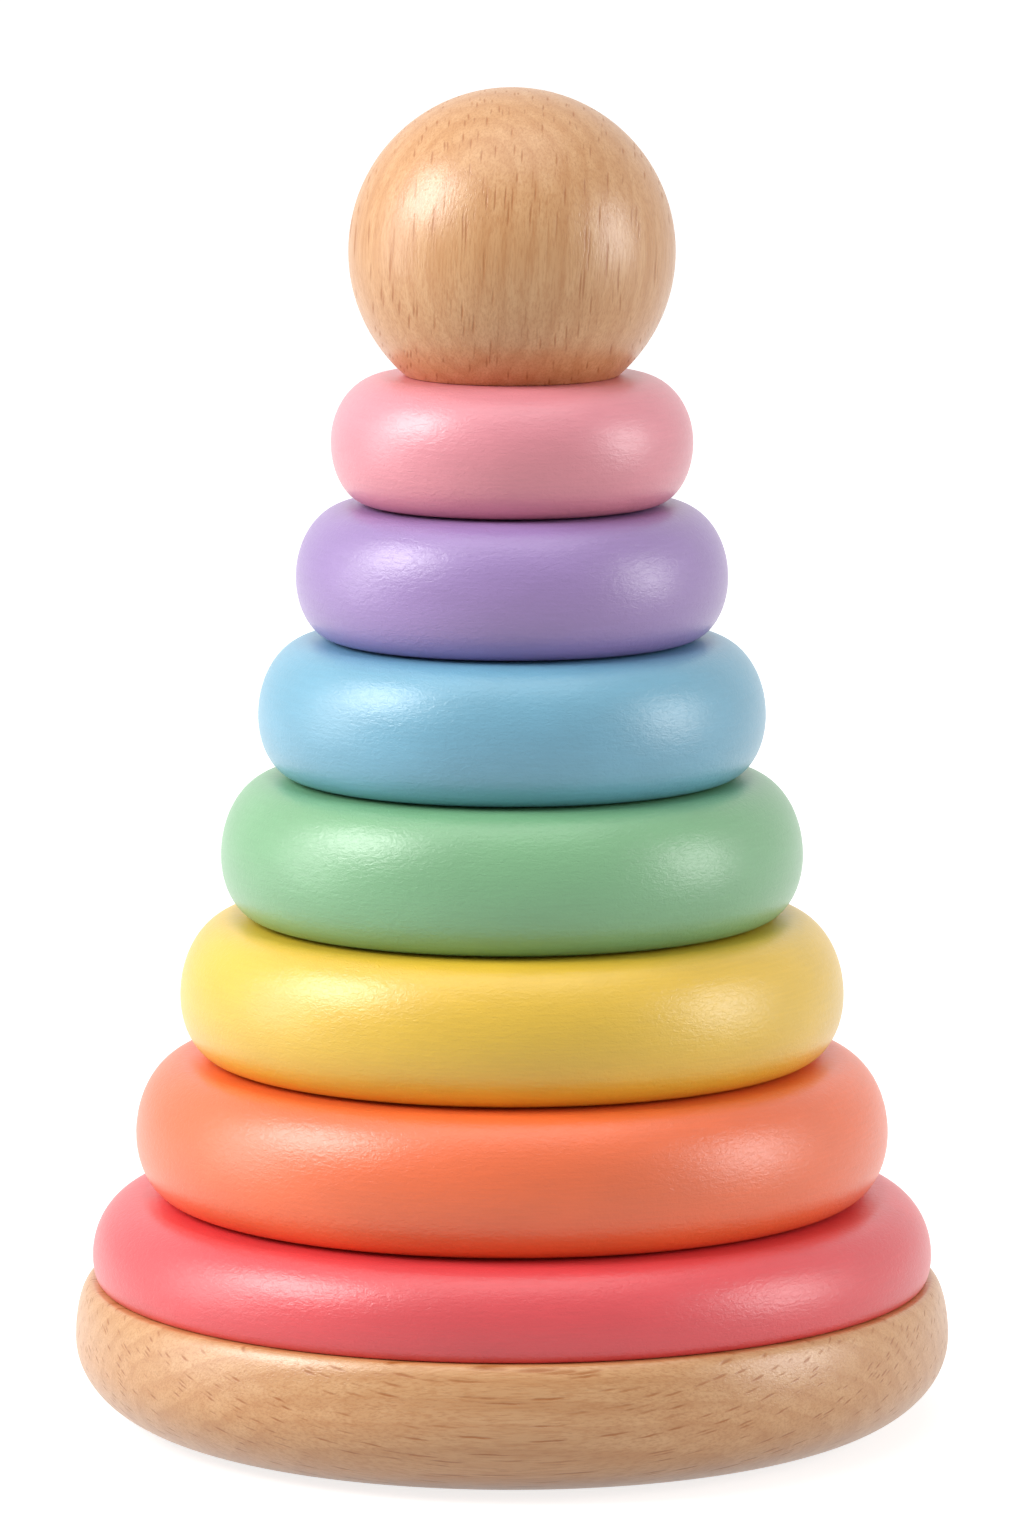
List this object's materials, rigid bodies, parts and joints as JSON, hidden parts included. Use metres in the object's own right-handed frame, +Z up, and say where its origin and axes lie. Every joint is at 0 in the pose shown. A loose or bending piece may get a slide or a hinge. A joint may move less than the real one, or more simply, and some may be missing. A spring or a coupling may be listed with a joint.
{
  "type": "rainbow stacker",
  "caption": "Stacking toy: round beech base with a hidden centre peg, turned wooden rings painted in pastel rainbow colours, each smaller than the one below, and a beech ball on top.",
  "frame": {"origin": "centre of the base's underside, on the peg's axis", "axes": "+Z up along the peg; the stack is round about Z, so +X and +Y are free, and the picture looks along +Y"},
  "size_m": [0.12, 0.12, 0.1823],
  "materials": {
    "beech": "beech under a clear satin lacquer",
    "zinc_steel": "zinc plated",
    "paint_red": "red satin paint on wood",
    "paint_orange": "orange satin paint on wood",
    "paint_yellow": "yellow satin paint on wood",
    "paint_green": "green satin paint on wood",
    "paint_blue": "blue satin paint on wood",
    "paint_purple": "purple satin paint on wood",
    "paint_pink": "pink satin paint on wood"
  },
  "bodies": {
    "base": {"base": "beech", "peg": "beech", "peg_screw": "zinc_steel"},
    "ring_red": {"ring_red": "paint_red"},
    "ring_orange": {"ring_orange": "paint_orange"},
    "ring_yellow": {"ring_yellow": "paint_yellow"},
    "ring_green": {"ring_green": "paint_green"},
    "ring_blue": {"ring_blue": "paint_blue"},
    "ring_purple": {"ring_purple": "paint_purple"},
    "ring_pink": {"ring_pink": "paint_pink"},
    "ball": {"ball": "beech"}
  },
  "joints": [
    {"name": "ring_red_lift", "type": "slide", "parent": "base", "child": "ring_red", "axis": [0, 0, 1], "range_m": [0, 0.141]},
    {"name": "ring_orange_lift", "type": "slide", "parent": "ring_red", "child": "ring_orange", "axis": [0, 0, 1], "range_m": [0, 0.129]},
    {"name": "ring_yellow_lift", "type": "slide", "parent": "ring_orange", "child": "ring_yellow", "axis": [0, 0, 1], "range_m": [0, 0.11]},
    {"name": "ring_green_lift", "type": "slide", "parent": "ring_yellow", "child": "ring_green", "axis": [0, 0, 1], "range_m": [0, 0.091]},
    {"name": "ring_blue_lift", "type": "slide", "parent": "ring_green", "child": "ring_blue", "axis": [0, 0, 1], "range_m": [0, 0.072]},
    {"name": "ring_purple_lift", "type": "slide", "parent": "ring_blue", "child": "ring_purple", "axis": [0, 0, 1], "range_m": [0, 0.053]},
    {"name": "ring_pink_lift", "type": "slide", "parent": "ring_purple", "child": "ring_pink", "axis": [0, 0, 1], "range_m": [0, 0.035]},
    {"name": "ball_lift", "type": "slide", "parent": "ring_pink", "child": "ball", "axis": [0, 0, 1], "range_m": [0, 0.017]}
  ]
}
